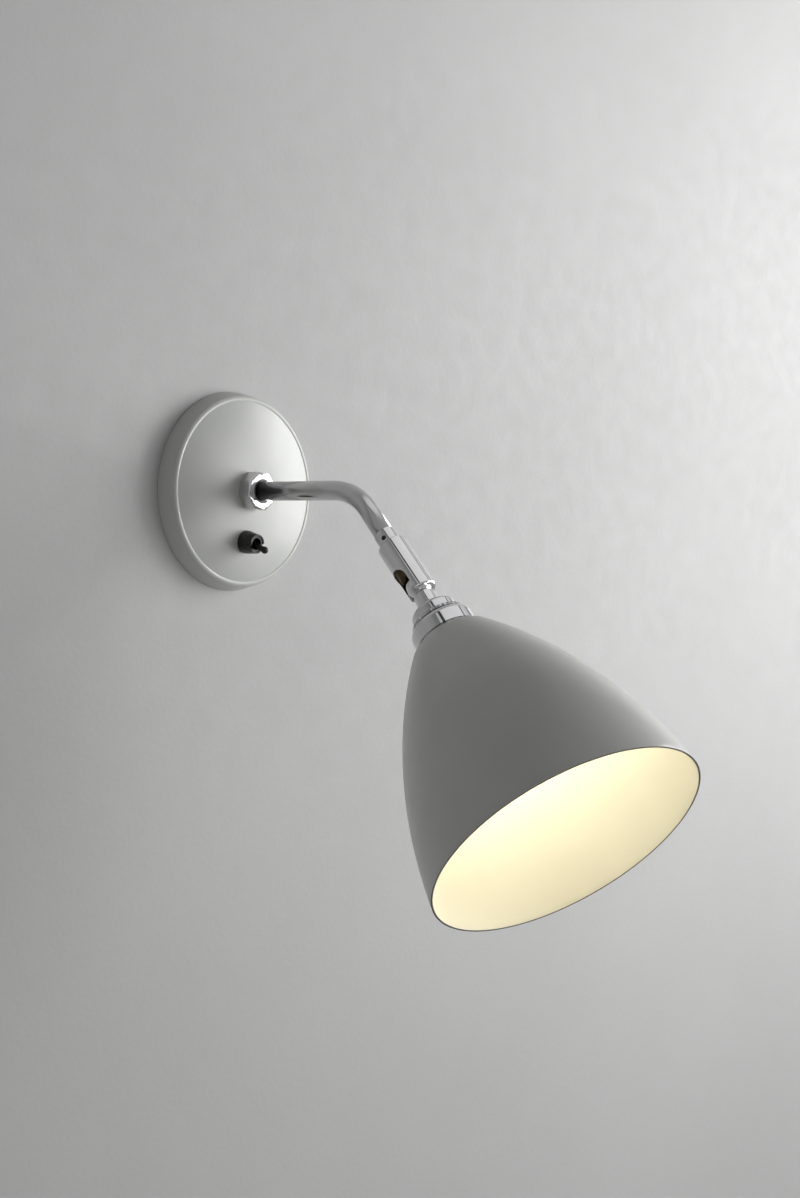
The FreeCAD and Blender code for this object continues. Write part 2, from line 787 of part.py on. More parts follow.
def make_lever():
    """Dolly with its pivot ball and a swelled, domed tip; it rests thrown down."""
    tip = lever_pivot_depth + lever_length
    dome = tip - lever_tip_radius
    swell = dome - lever_radius
    foot = -math.sqrt(lever_ball_radius ** 2 - lever_foot_radius ** 2)
    leave = math.sqrt(lever_ball_radius ** 2 - lever_radius ** 2)
    diagonal = lever_tip_radius * math.sqrt(0.5)
    rod = turned([
        (0, foot), (lever_foot_radius, foot), (lever_ball_radius, 0, "arc"), (lever_radius, leave),
        (lever_radius, swell), (lever_tip_radius, dome),
        (diagonal, dome + diagonal, "arc"), (0, tip)])
    rod.rotate(O, X, lever_throw)
    rod.translate(Z * switch_pivot)
    return rod


# ---- terminals -------------------------------------------------------------------------------
def make_terminal_block():
    base = block(block_width, block_height, plate_wall, plate_wall + block_depth, 0, block_rise)
    low = block_rise - block_height / 2 - cut_over
    for i in range(block_ways):
        way = Part.makeCylinder(block_way_radius, block_height + 2 * cut_over,
                                FreeCAD.Vector(terminal_x(i), low, plate_wall + block_way_rise), Y)
        hole = disc(terminal_screw_radius, plate_wall + terminal_screw_foot,
                    plate_wall + block_depth + cut_over)
        hole.translate(FreeCAD.Vector(terminal_x(i), block_rise, 0))
        base = base.cut(way).cut(hole)
    return base


def terminal_x(i):
    return (i - (block_ways - 1) / 2) * block_pitch


def slotted(radius, start, end):
    """A cheese head with a straight slot across it."""
    head = disc(radius, start, end)
    return head.cut(block(3 * radius, screw_slot_width, end - screw_slot_depth, end + cut_over))


def make_terminal_screws():
    screws = []
    for i in range(block_ways):
        screw = slotted(terminal_screw_radius, plate_wall + terminal_screw_foot,
                        plate_wall + block_depth - terminal_screw_sink)
        screw.translate(FreeCAD.Vector(terminal_x(i), block_rise, 0))
        screws.append(screw)
    return Part.makeCompound(screws)


def make_earth_screw():
    screw = slotted(earth_head_radius, plate_wall, plate_wall + earth_head_depth)
    screw.translate(FreeCAD.Vector(earth_offset, -earth_drop, 0))
    return screw


def main():
    os.makedirs("parts", exist_ok=True)
    save(make_cover(), "wall_rose", wall_frame)
    save(make_wall_plate(), "wall_plate", wall_frame)
    save(make_cover_screws(), "rose_screws", wall_frame)
    save(make_gland_body(), "gland_body", wall_frame)
    save(make_stop_peg(), "stop_peg", wall_frame)
    save(make_wave_washer(), "wave_washer", wall_frame)
    save(make_end_ring(), "gland_end_ring", wall_frame)
    save(make_gland_nut(), "gland_nut", wall_frame)
    save(make_friction_bush(), "friction_bush", wall_frame)
    save(make_terminal_block(), "terminal_block", wall_frame)
    save(make_terminal_screws(), "terminal_screws", wall_frame)
    save(make_earth_screw(), "earth_screw", wall_frame)
    save(make_switch_body(), "switch_body", switch_frame)
    save(make_switch_ring(), "switch_ring", switch_frame)
    save(make_switch_tabs(), "switch_tabs", switch_frame)
    save(make_lever(), "switch_lever", switch_frame)
    save(make_stop_collar(), "stop_collar", wall_frame)
    save(make_arm_tube(), "arm_tube")
    save(make_adapter(), "knuckle_adapter", knuckle_frame)
    save(make_grub_screw(), "adapter_screw", knuckle_frame)
    save(make_pivot_nut(), "pivot_nut", knuckle_frame)
    save(make_sleeve(), "knuckle_sleeve", knuckle_frame)
    save(make_disc_springs(), "disc_springs", knuckle_frame)
    save(make_pressure_pad(), "pressure_pad", knuckle_frame)
    save(make_ball_stem(), "ball_stem", head_frame)
    save(make_stem_nut(), "stem_nut", head_frame)
    save(make_holder_cap(), "holder_cap", head_frame)
    save(make_cap_ring(), "cap_ring", head_frame)
    save(make_barrel(), "holder_barrel", head_frame)
    save(make_holder_skirt(), "holder_skirt", head_frame)
    save(make_upper_ring(), "shade_ring_upper", head_frame)
    save(make_inner_ring(), "shade_ring_lower", head_frame)
    save(make_insert(), "holder_insert", head_frame)
    save(make_contacts(), "holder_contacts", head_frame)
    save(make_shade(), "shade", head_frame)
    save(make_bulb_cap(), "bulb_cap", head_frame)
    save(make_bulb_glass(), "bulb_glass", head_frame)


main()
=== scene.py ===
import json
import math

import bmesh
import bpy
from mathutils import Matrix, Vector


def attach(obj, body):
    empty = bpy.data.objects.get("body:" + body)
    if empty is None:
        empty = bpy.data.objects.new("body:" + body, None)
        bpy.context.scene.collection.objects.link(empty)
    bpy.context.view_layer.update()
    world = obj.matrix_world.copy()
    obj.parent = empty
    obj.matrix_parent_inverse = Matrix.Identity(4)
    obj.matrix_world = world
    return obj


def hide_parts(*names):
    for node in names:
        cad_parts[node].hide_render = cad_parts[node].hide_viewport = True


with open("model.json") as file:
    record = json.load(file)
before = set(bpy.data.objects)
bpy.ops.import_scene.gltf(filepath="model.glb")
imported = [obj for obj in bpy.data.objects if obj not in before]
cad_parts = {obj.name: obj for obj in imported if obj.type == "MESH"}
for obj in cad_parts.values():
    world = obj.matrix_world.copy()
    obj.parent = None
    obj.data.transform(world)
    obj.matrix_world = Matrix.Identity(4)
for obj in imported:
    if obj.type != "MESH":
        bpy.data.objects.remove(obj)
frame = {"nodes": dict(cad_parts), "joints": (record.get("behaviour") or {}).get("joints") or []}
nodes = frame["nodes"]
joints = {joint["name"]: joint for joint in frame["joints"]}
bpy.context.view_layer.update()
print("frame loaded:", len(nodes), "nodes")


# places: the wall looks out along -Y, the knuckle along the lower arm, the head along the shade
def placeAlong(origin, along, side):
    z = Vector(along).normalized()
    y = z.cross(Vector(side)).normalized()
    x = y.cross(z)
    place = Matrix((x, y, z)).transposed().to_4x4()
    place.translation = Vector(origin)
    return place


slotSide = Vector((-0.8090170, 0.4156269, -0.4156269))   # the knuckle's slot, left and down
wallPlace = placeAlong((0, 0, 0), (0, -1, 0), (1, 0, 0))
kneePlace = placeAlong(joints["knuckle_swivel"]["pos_m"], joints["knuckle_swivel"]["axis"], slotSide)
headPlace = placeAlong(joints["head_spin"]["pos_m"], joints["head_spin"]["axis"], slotSide)


# drawing and finishing pieces
meshing = dict(join=1e-7, copyJoin=2e-6, flatAngle=0.4, softAngle=35.0, smoothAngle=38.0)


def lineTo(bm, vert, r, z):
    made = bmesh.ops.extrude_vert_indiv(bm, verts=[vert])["verts"][0]
    made.co = Vector((r, 0, z)) / 1000
    return made


def arcTo(bm, vert, middle, end, steps):
    # turns the last point about the centre of the arc through middle and end
    p = Vector((vert.co.x, vert.co.z))
    q = Vector(middle) / 1000
    s = Vector(end) / 1000
    a, b = q - p, s - p
    d = 2 * (a.x * b.y - a.y * b.x)
    centre = p + Vector((b.y * a.length_squared - a.y * b.length_squared,
                         a.x * b.length_squared - b.x * a.length_squared)) / d
    turn = (s - centre).angle_signed(p - centre)
    if (q - centre).angle_signed(p - centre) * turn < 0:
        turn -= math.copysign(2 * math.pi, turn)
    made = bmesh.ops.spin(bm, geom=[vert], cent=(centre.x, 0, centre.y), axis=(0, -1, 0),
                          angle=turn, steps=steps)["geom_last"]
    return next(part for part in made if isinstance(part, bmesh.types.BMVert))


def bowedMiddle(start, end, share):
    # middle of an arc that bows out from the axis by a share of its chord
    dr, dz = end[0] - start[0], end[1] - start[1]
    return ((start[0] + end[0]) / 2 + dz * share, (start[1] + end[1]) / 2 - dr * share)


def turnedShape(profile, steps=128):
    # profile: (r, z) for a line, ((r, z), (r, z), steps) for an arc through a middle to an end
    bm = bmesh.new()
    first = last = bm.verts.new(Vector((profile[0][0], 0, profile[0][1])) / 1000)
    for part in profile[1:]:
        if len(part) == 3:
            last = arcTo(bm, last, *part)
        else:
            last = lineTo(bm, last, *part)
    if max(first.co.x, last.co.x) > 1e-6:
        bm.edges.new((last, first))
    bmesh.ops.spin(bm, geom=bm.verts[:] + bm.edges[:], cent=(0, 0, 0), axis=(0, 0, 1),
                   angle=2 * math.pi, steps=steps, use_merge=True)
    bmesh.ops.remove_doubles(bm, verts=bm.verts, dist=meshing["join"])
    bmesh.ops.dissolve_degenerate(bm, edges=bm.edges, dist=meshing["join"] / 10)
    bmesh.ops.recalc_face_normals(bm, faces=bm.faces)
    return bm


def softenEdges(bm, width):
    soft = math.radians(meshing["softAngle"])
    sharp = [edge for edge in bm.edges if edge.is_manifold and edge.calc_face_angle() > soft]
    bmesh.ops.bevel(bm, geom=sharp, offset=width / 1000, affect="EDGES", segments=2,
                    profile=0.5, material=-1, clamp_overlap=True)


def addPiece(bm, name, finishes, body, stands=(), place=None, weighted=True):
    # puts the shape in its place, shades it and lets it ride a body in the stead of its CAD nodes
    smooth = math.radians(meshing["smoothAngle"])
    if place is not None:
        bmesh.ops.transform(bm, matrix=place, verts=bm.verts)
    for face in bm.faces:
        face.smooth = True
    for edge in bm.edges:
        edge.smooth = not edge.is_manifold or edge.calc_face_angle() < smooth
    mesh = bpy.data.meshes.new(name)
    bm.to_mesh(mesh)
    bm.free()
    piece = bpy.data.objects.new(name, mesh)
    bpy.context.scene.collection.objects.link(piece)
    for finish in finishes:
        mesh.materials.append(finish)
    if weighted:
        normals = piece.modifiers.new("weightedNormals", "WEIGHTED_NORMAL")
        normals.keep_sharp = True
    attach(piece, body)
    if stands:
        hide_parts(*stands)
    return piece


def dressedCopy(node, name, finish, body, width):
    # the CAD shape with its loose triangles joined and its edges eased
    bm = bmesh.new()
    bm.from_mesh(nodes[node].data)
    bmesh.ops.remove_doubles(bm, verts=bm.verts, dist=meshing["copyJoin"])
    bmesh.ops.dissolve_degenerate(bm, edges=bm.edges, dist=meshing["join"])
    bmesh.ops.dissolve_limit(bm, angle_limit=math.radians(meshing["flatAngle"]), verts=bm.verts, edges=bm.edges)
    if width:
        softenEdges(bm, width)
    return addPiece(bm, name, [finish], body, [node])


# shared effects: groups that put out colours and values that change over the surface

def newGroup(name, inputs, outputs):
    group = bpy.data.node_groups.new(name, "ShaderNodeTree")
    for label, kind, value in inputs:
        socket = group.interface.new_socket(label, in_out="INPUT", socket_type="NodeSocket" + kind)
        if value is not None:
            socket.default_value = value
    for label, kind in outputs:
        group.interface.new_socket(label, in_out="OUTPUT", socket_type="NodeSocket" + kind)
    return group, group.nodes.new("NodeGroupInput"), group.nodes.new("NodeGroupOutput")


def makeMottle():
    # two close tones in soft patches with fine specks over them
    group, given, put = newGroup(
        "mottle",
        [("Vector", "Vector", None), ("Light", "Color", (0.6, 0.6, 0.6, 1)), ("Dark", "Color", (0.5, 0.5, 0.5, 1)),
         ("Patch Scale", "Float", 30.0), ("Speck Scale", "Float", 900.0), ("Speck Amount", "Float", 0.2)],
        [("Color", "Color"), ("Patches", "Float"), ("Specks", "Float")])
    make, link = group.nodes.new, group.links.new
    patches = make("ShaderNodeTexNoise")
    patches.inputs["Detail"].default_value = 3
    specks = make("ShaderNodeTexNoise")
    specks.inputs["Detail"].default_value = 5
    specks.inputs["Roughness"].default_value = 0.65
    spread = make("ShaderNodeMapRange")
    spread.inputs["From Min"].default_value = 0.3
    spread.inputs["From Max"].default_value = 0.7
    share = make("ShaderNodeMath")
    share.operation = "MULTIPLY_ADD"
    centred = make("ShaderNodeMath")
    centred.operation = "SUBTRACT"
    centred.inputs[1].default_value = 0.5
    mix = make("ShaderNodeMix")
    mix.data_type = "RGBA"
    for noise, scale in ((patches, "Patch Scale"), (specks, "Speck Scale")):
        link(given.outputs["Vector"], noise.inputs["Vector"])
        link(given.outputs[scale], noise.inputs["Scale"])
    link(patches.outputs["Fac"], spread.inputs["Value"])
    link(specks.outputs["Fac"], centred.inputs[0])
    link(centred.outputs[0], share.inputs[0])
    link(given.outputs["Speck Amount"], share.inputs[1])
    link(spread.outputs["Result"], share.inputs[2])
    link(share.outputs[0], mix.inputs["Factor"])
    link(given.outputs["Light"], mix.inputs["A"])
    link(given.outputs["Dark"], mix.inputs["B"])
    link(mix.outputs["Result"], put.inputs["Color"])
    link(spread.outputs["Result"], put.inputs["Patches"])
    link(specks.outputs["Fac"], put.inputs["Specks"])
    return group


def makeMarks():
    # fine marks drawn out along one direction, as polishing and turning leave them
    group, given, put = newGroup(
        "toolMarks",
        [("Vector", "Vector", None), ("Stretch", "Vector", (1.0, 1.0, 20.0)), ("Scale", "Float", 300.0),
         ("Low", "Float", 0.1), ("High", "Float", 0.2)],
        [("Roughness", "Float"), ("Height", "Float")])
    make, link = group.nodes.new, group.links.new
    scaled = make("ShaderNodeVectorMath")
    scaled.operation = "MULTIPLY"
    fine = make("ShaderNodeTexNoise")
    fine.inputs["Detail"].default_value = 4
    wide = make("ShaderNodeTexNoise")
    wide.inputs["Scale"].default_value = 60
    both = make("ShaderNodeMath")
    both.operation = "ADD"
    spread = make("ShaderNodeMapRange")
    spread.inputs["From Min"].default_value = 0.7
    spread.inputs["From Max"].default_value = 1.3
    link(given.outputs["Vector"], scaled.inputs[0])
    link(given.outputs["Stretch"], scaled.inputs[1])
    link(scaled.outputs[0], fine.inputs["Vector"])
    link(given.outputs["Scale"], fine.inputs["Scale"])
    link(given.outputs["Vector"], wide.inputs["Vector"])
    link(fine.outputs["Fac"], both.inputs[0])
    link(wide.outputs["Fac"], both.inputs[1])
    link(both.outputs[0], spread.inputs["Value"])
    link(given.outputs["Low"], spread.inputs["To Min"])
    link(given.outputs["High"], spread.inputs["To Max"])
    link(spread.outputs["Result"], put.inputs["Roughness"])
    link(fine.outputs["Fac"], put.inputs["Height"])
    return group


mottle = makeMottle()
toolMarks = makeMarks()


def newFinish(name, look):
    # a Principled shader with the shared mottle on its colour and marks on its roughness and bump
    material = bpy.data.materials.new(name)
    material.use_nodes = True
    tree = material.node_tree
    shader = tree.nodes["Principled BSDF"]
    spot = tree.nodes.new("ShaderNodeTexCoord")
    patches = tree.nodes.new("ShaderNodeGroup")
    patches.node_tree = mottle
    marks = tree.nodes.new("ShaderNodeGroup")
    marks.node_tree = toolMarks
    bump = tree.nodes.new("ShaderNodeBump")
    tree.links.new(spot.outputs["Object"], patches.inputs["Vector"])
    tree.links.new(spot.outputs["Object"], marks.inputs["Vector"])
    patches.inputs["Light"].default_value = (*look["light"], 1)
    patches.inputs["Dark"].default_value = (*look["dark"], 1)
    patches.inputs["Patch Scale"].default_value = look.get("patch", 30)
    patches.inputs["Speck Scale"].default_value = look.get("speck", 900)
    patches.inputs["Speck Amount"].default_value = look.get("specks", 0.3)
    marks.inputs["Scale"].default_value = look.get("marks", 300)
    marks.inputs["Stretch"].default_value = look.get("stretch", (1, 1, 1))
    marks.inputs["Low"].default_value = look["rough"][0]
    marks.inputs["High"].default_value = look["rough"][1]
    bump.inputs["Strength"].default_value = look.get("bump", 0.2)
    bump.inputs["Distance"].default_value = look.get("depth", 0.00005)
    tree.links.new(patches.outputs["Color"], shader.inputs["Base Color"])
    tree.links.new(marks.outputs["Roughness"], shader.inputs["Roughness"])
    tree.links.new(marks.outputs["Height"], bump.inputs["Height"])
    tree.links.new(bump.outputs["Normal"], shader.inputs["Normal"])
    shader.inputs["Metallic"].default_value = look.get("metal", 0.0)
    shader.inputs["IOR"].default_value = look.get("ior", 1.5)
    shader.inputs["Coat Weight"].default_value = look.get("coat", 0.0)
    shader.inputs["Coat Roughness"].default_value = look.get("coatRough", 0.1)
    if "glow" in look:
        shader.inputs["Emission Color"].default_value = (*look["glow"][:3], 1)
        shader.inputs["Emission Strength"].default_value = look["glow"][3]
    return material


finishes = {
    "roseEnamel": dict(light=(0.60, 0.61, 0.58), dark=(0.55, 0.56, 0.53), patch=18, speck=1500, specks=0.25,
                       rough=(0.30, 0.42), marks=420, bump=0.10, depth=0.00006, coat=0.12, coatRough=0.25),
    "shadeEnamel": dict(light=(0.60, 0.60, 0.57), dark=(0.55, 0.55, 0.52), patch=14, speck=1500, specks=0.25,
                        rough=(0.30, 0.40), marks=420, bump=0.10, depth=0.00006, coat=0.25, coatRough=0.22),
    "whiteLining": dict(light=(0.86, 0.82, 0.70), dark=(0.83, 0.79, 0.66), patch=20, speck=1200, specks=0.2,
                        rough=(0.40, 0.55), marks=400, bump=0.08, depth=0.00005),
    # painted shade: the bell's cut edge is bare metal darkened near black to stand for the shadow on it
    "shadedCutEdge": dict(light=(0.16, 0.15, 0.13), dark=(0.10, 0.095, 0.085), patch=120, speck=1500, specks=0.4,
                    rough=(0.35, 0.55), marks=900, bump=0.2, depth=0.00004),
    "polishedChrome": dict(light=(0.74, 0.74, 0.75), dark=(0.67, 0.67, 0.68), patch=60, speck=1800, specks=0.2,
                           rough=(0.05, 0.11), marks=900, bump=0.012, depth=0.00002, metal=1.0),
    "satinChrome": dict(light=(0.62, 0.62, 0.63), dark=(0.56, 0.56, 0.57), patch=60, speck=1800, specks=0.2,
                        rough=(0.13, 0.22), marks=900, bump=0.03, depth=0.00002, metal=1.0),
    "knurledChrome": dict(light=(0.62, 0.62, 0.63), dark=(0.50, 0.50, 0.51), patch=300, speck=2500, specks=0.4,
                          rough=(0.14, 0.26), marks=1500, bump=0.10, depth=0.00002, metal=1.0),
    "turnedBrass": dict(light=(0.66, 0.50, 0.24), dark=(0.52, 0.38, 0.17), patch=90, speck=1600, specks=0.4,
                        rough=(0.18, 0.34), marks=1200, bump=0.12, depth=0.00003, metal=1.0),
    # painted shade: the pad seen through the knuckle's slot is brass darkened near black to stand for the shade in
    # the slot
    "slotShadeBrass": dict(light=(0.12, 0.09, 0.045), dark=(0.05, 0.038, 0.02), patch=160, speck=1600, specks=0.5,
                       rough=(0.30, 0.50), marks=1200, bump=0.12, depth=0.00003, metal=1.0),
    "dullBrass": dict(light=(0.58, 0.45, 0.24), dark=(0.42, 0.31, 0.16), patch=70, speck=1300, specks=0.5,
                      rough=(0.30, 0.50), marks=900, bump=0.15, depth=0.00004, metal=1.0),
    "zincSteel": dict(light=(0.56, 0.57, 0.58), dark=(0.42, 0.43, 0.44), patch=45, speck=700, specks=0.6,
                      rough=(0.32, 0.50), marks=500, bump=0.10, depth=0.00003, metal=1.0),
    "blackOxide": dict(light=(0.06, 0.06, 0.06), dark=(0.025, 0.025, 0.026), patch=200, speck=2000, specks=0.5,
                       rough=(0.35, 0.5), marks=1500, bump=0.15, depth=0.00003, metal=0.9),
    "blackBakelite": dict(light=(0.022, 0.020, 0.019), dark=(0.010, 0.009, 0.009), patch=160, speck=2400,
                          specks=0.6, rough=(0.24, 0.38), marks=900, bump=0.12, depth=0.00004, ior=1.42),
    "blackNylon": dict(light=(0.115, 0.115, 0.117), dark=(0.08, 0.08, 0.081), patch=200, speck=2000, specks=0.5,
                       rough=(0.45, 0.60), marks=1100, bump=0.15, depth=0.00004),
    "whitePorcelain": dict(light=(0.80, 0.79, 0.74), dark=(0.74, 0.72, 0.66), patch=60, speck=900, specks=0.4,
                           rough=(0.10, 0.22), marks=300, bump=0.06, depth=0.00005, coat=0.3, coatRough=0.05),
    "pearlGlass": dict(light=(0.95, 0.91, 0.82), dark=(0.92, 0.87, 0.76), patch=50, speck=900, specks=0.2,
                       rough=(0.35, 0.50), marks=600, bump=0.05, depth=0.00003, glow=(1.0, 0.99, 0.88, 8.2)),
}
made = {name: newFinish(name, look) for name, look in finishes.items()}
print("finishes made:", len(made))


# wall rose: a shallow dish with a rolled and beaded front edge, hollow behind
rose = dict(back=60.0, side=57.6, sideDepth=8.8, beadTop=55.8, beadDepth=11.3, edge=54.3, edgeDepth=11.1,
            crownDepth=15.85, seat=12.0, seatDepth=17.5, hole=8.1, wall=1.2, screwSeat=57.0, screwSunk=1.3)


def addRose():
    wall = rose["wall"]
    middle = (rose["edge"] + rose["seat"]) / 2
    rolled = (rose["side"] - rose["beadTop"]) * math.sqrt(0.5)
    rise = (rose["beadDepth"] - rose["sideDepth"]) * math.sqrt(0.5)
    beadMiddle = ((rose["beadTop"] + rose["edge"]) / 2, rose["beadDepth"] + 0.04)
    bm = turnedShape([
        (rose["back"], 0.0), (rose["side"], rose["sideDepth"]),
        ((rose["beadTop"] + rolled, rose["sideDepth"] + rise), (rose["beadTop"], rose["beadDepth"]), 10),
        (beadMiddle, (rose["edge"], rose["edgeDepth"]), 5),
        ((middle, rose["crownDepth"]), (rose["seat"], rose["seatDepth"]), 24),
        (rose["hole"], rose["seatDepth"]), (rose["hole"], rose["seatDepth"] - wall),
        (rose["seat"], rose["seatDepth"] - wall),
        ((middle, rose["crownDepth"] - wall), (rose["edge"] - wall / 2, rose["edgeDepth"] - wall), 12),
        (rose["side"] - wall, rose["sideDepth"] - wall / 2), (rose["back"] - wall, 0.0)], steps=160)
    return addPiece(bm, "roseDish", [made["roseEnamel"]], "base", ["wall_rose"], wallPlace)


# bell shade: flat neck, tight shoulder and one long curve, white inside
bell = dict(hole=14.3, top=40.3, seat=18.6, shoulder=24.5, shoulderDrop=3.7, mouth=76.7, length=135.9,
            wall=1.1, shoulderBow=0.1, wallBow=0.066, edgeRound=0.3, edgeDeep=0.35)


def addBell():
    top, wall = bell["top"], bell["wall"]
    neck = (bell["seat"], top)
    shoulder = (bell["shoulder"], top + bell["shoulderDrop"])
    mouth = (bell["mouth"], top + bell["length"])
    innerNeck = (bell["seat"] - wall / 4, top + wall)
    innerShoulder = (bell["shoulder"] - wall * 0.75, top + bell["shoulderDrop"] + wall * 0.75)
    innerMouth = (bell["mouth"] - wall, top + bell["length"])
    bm = turnedShape([
        (bell["hole"], top), neck, (bowedMiddle(neck, shoulder, bell["shoulderBow"]), shoulder, 8),
        (bowedMiddle(shoulder, mouth, bell["wallBow"]), mouth, 44), innerMouth,
        (bowedMiddle(innerMouth, innerShoulder, -bell["wallBow"]), innerShoulder, 44),
        (bowedMiddle(innerShoulder, innerNeck, -bell["shoulderBow"]), innerNeck, 8),
        (bell["hole"], top + wall)], steps=192)
    rim = [edge for edge in bm.edges
           if abs(edge.verts[0].co.z - mouth[1] / 1000) < 1e-6 and abs(edge.verts[1].co.z - mouth[1] / 1000) < 1e-6
           and abs(edge.verts[0].co.xy.length - edge.verts[1].co.xy.length) < 1e-6]
    bmesh.ops.bevel(bm, geom=rim, offset=bell["edgeRound"] / 1000, affect="EDGES", segments=3,
                    profile=0.5, material=-1)
    # enamel outside, white lining inside, and on the cut edge bare metal darkened to paint the shade it lies in
    for face in bm.faces:
        centre = face.calc_center_median()
        outward = Vector((centre.x, centre.y, 0)).normalized() - Vector((0, 0, 1))
        if face.normal.z > 0.5 and centre.z > (mouth[1] - bell["edgeDeep"]) / 1000:
            face.material_index = 2
        elif face.normal.dot(outward) < 0:
            face.material_index = 1
    return addPiece(bm, "bellShade", [made["shadeEnamel"], made["whiteLining"], made["shadedCutEdge"]], "head",
                    ["shade"], headPlace, weighted=False)


# bent tube arm
arm = dict(radius=5.75, wall=1.1, start=9.6, reach=101.0, bendRadius=40.0, angle=45.0, end=42.0)


def addArm():
    turn = math.radians(arm["angle"])
    setback = arm["bendRadius"] * math.tan(turn / 2)
    bm = bmesh.new()
    bmesh.ops.create_circle(bm, segments=64, radius=arm["radius"] / 1000)
    bmesh.ops.rotate(bm, verts=bm.verts, matrix=Matrix.Rotation(math.radians(90), 3, "X"))
    bmesh.ops.translate(bm, verts=bm.verts, vec=(0, -arm["start"] / 1000, 0))
    ends = bmesh.ops.extrude_edge_only(bm, edges=bm.edges)["geom"]
    bmesh.ops.translate(bm, verts=[part for part in ends if isinstance(part, bmesh.types.BMVert)],
                        vec=(0, (setback + arm["start"] - arm["reach"]) / 1000, 0))
    loop = [part for part in ends if not isinstance(part, bmesh.types.BMFace)]
    bent = bmesh.ops.spin(bm, geom=loop, cent=(0, (setback - arm["reach"]) / 1000, -arm["bendRadius"] / 1000),
                          axis=(1, 0, 0), angle=turn, steps=36)["geom_last"]
    last = bmesh.ops.extrude_edge_only(
        bm, edges=[part for part in bent if isinstance(part, bmesh.types.BMEdge)])["geom"]
    along = Vector(joints["knuckle_swivel"]["axis"]) * (arm["end"] - setback) / 1000
    bmesh.ops.translate(bm, verts=[part for part in last if isinstance(part, bmesh.types.BMVert)], vec=along)
    bmesh.ops.remove_doubles(bm, verts=bm.verts, dist=meshing["join"])
    bmesh.ops.recalc_face_normals(bm, faces=bm.faces)
    lowest = min(bm.faces, key=lambda part: part.calc_center_median().z)
    if lowest.normal.z > 0:   # the tube is open, so its lowest face tells which side is out
        bmesh.ops.reverse_faces(bm, faces=bm.faces)
    piece = addPiece(bm, "armTube", [made["satinChrome"]], "arm", ["arm_tube"], weighted=False)
    wall = piece.modifiers.new("tubeWall", "SOLIDIFY")
    wall.thickness = arm["wall"] / 1000
    wall.offset = -1
    return piece


# lampholder: cap, knurled rim, skirt and the two shade rings
holder = dict(bore=5.08, capTop=17.3, capRadius=13.2, capRound=2.6, capWall=1.3, capEnd=27.1,
              rimStart=24.9, rimRadius=15.7, skirtStart=27.7, skirtTop=15.2, shoulder=31.3, skirtRadius=18.6,
              skirtEnd=38.3, skirtWall=1.2, barrel=14.2, ringRadius=18.5, ringEnd=40.3, ringTeeth=132,
              rimTeeth=110, toothDepth=0.35, lowerRadius=18.0, lowerStart=41.4, lowerEnd=45.4, lowerTeeth=48)


def toothedRing(radius, bore, start, end, teeth, depth, edge):
    # a star loop drawn up through the ring's rows and closed on the bore
    bm = bmesh.new()
    bmesh.ops.create_circle(bm, segments=3 * teeth, radius=1.0)
    rows = [(bore, start, 0.0), (radius - depth - edge, start, 0.0), (radius, start + edge, depth),
            (radius, end - edge, depth), (radius - depth - edge, end, 0.0), (bore, end, 0.0)]
    loop = bm.edges[:]
    first = loop
    for number, (size, height, tooth) in enumerate(rows):
        verts = {vert for part in loop for vert in part.verts}
        for vert in verts:
            turn = math.atan2(vert.co.y, vert.co.x)
            crest = round(turn / (2 * math.pi) * 3 * teeth) % 3
            reach = size - (tooth if crest == 0 else 0.0)
            vert.co = Vector((math.cos(turn) * reach, math.sin(turn) * reach, height)) / 1000
        if number < len(rows) - 1:
            grown = bmesh.ops.extrude_edge_only(bm, edges=loop)["geom"]
            loop = [part for part in grown if isinstance(part, bmesh.types.BMEdge)]
    bmesh.ops.bridge_loops(bm, edges=first + loop)
    bmesh.ops.recalc_face_normals(bm, faces=bm.faces)
    return bm


def addHolder():
    h = holder
    inner = h["capRadius"] - h["capWall"]
    turn = h["capRound"] * (1 - math.sqrt(0.5))
    cap = turnedShape([
        (h["bore"], h["capTop"]), (h["capRadius"] - h["capRound"], h["capTop"]),
        ((h["capRadius"] - turn, h["capTop"] + turn), (h["capRadius"], h["capTop"] + h["capRound"]), 10),
        (h["capRadius"], h["capEnd"]), (inner, h["capEnd"]), (inner, h["capTop"] + h["capRound"]),
        (inner - 1.5, h["capTop"] + h["capWall"]), (h["bore"], h["capTop"] + h["capWall"])])
    addPiece(cap, "holderCap", [made["polishedChrome"]], "head", ["holder_cap"], headPlace)
    rim = toothedRing(h["rimRadius"], h["capRadius"], h["rimStart"], h["capEnd"], h["rimTeeth"],
                      h["toothDepth"], 0.35)
    addPiece(rim, "knurledRim", [made["knurledChrome"]], "head", ["cap_ring"], headPlace)
    diagonal = math.sqrt(0.5)
    middle = (h["skirtTop"] + (h["skirtRadius"] - h["skirtTop"]) * diagonal,
              h["skirtStart"] + (h["shoulder"] - h["skirtStart"]) * (1 - diagonal))
    skirt = turnedShape([
        (h["barrel"], h["skirtStart"]), (h["skirtTop"], h["skirtStart"]),
        (middle, (h["skirtRadius"], h["shoulder"]), 12), (h["skirtRadius"], h["skirtEnd"]),
        (h["skirtRadius"] - h["skirtWall"], h["skirtEnd"]), (h["skirtRadius"] - h["skirtWall"], h["shoulder"]),
        (h["skirtTop"] - h["skirtWall"] / 2, h["skirtStart"] + h["skirtWall"]),
        (h["barrel"], h["skirtStart"] + h["skirtWall"])])
    addPiece(skirt, "holderSkirt", [made["polishedChrome"]], "head", ["holder_skirt"], headPlace)
    upper = toothedRing(h["ringRadius"], h["barrel"], h["skirtEnd"], h["ringEnd"], h["ringTeeth"],
                        h["toothDepth"], 0.3)
    addPiece(upper, "shadeRing", [made["knurledChrome"]], "head", ["shade_ring_upper"], headPlace)
    lower = toothedRing(h["lowerRadius"], h["barrel"], h["lowerStart"], h["lowerEnd"], h["lowerTeeth"], 0.5, 0.5)
    addPiece(lower, "clampRing", [made["dullBrass"]], "head", ["shade_ring_lower"], headPlace)


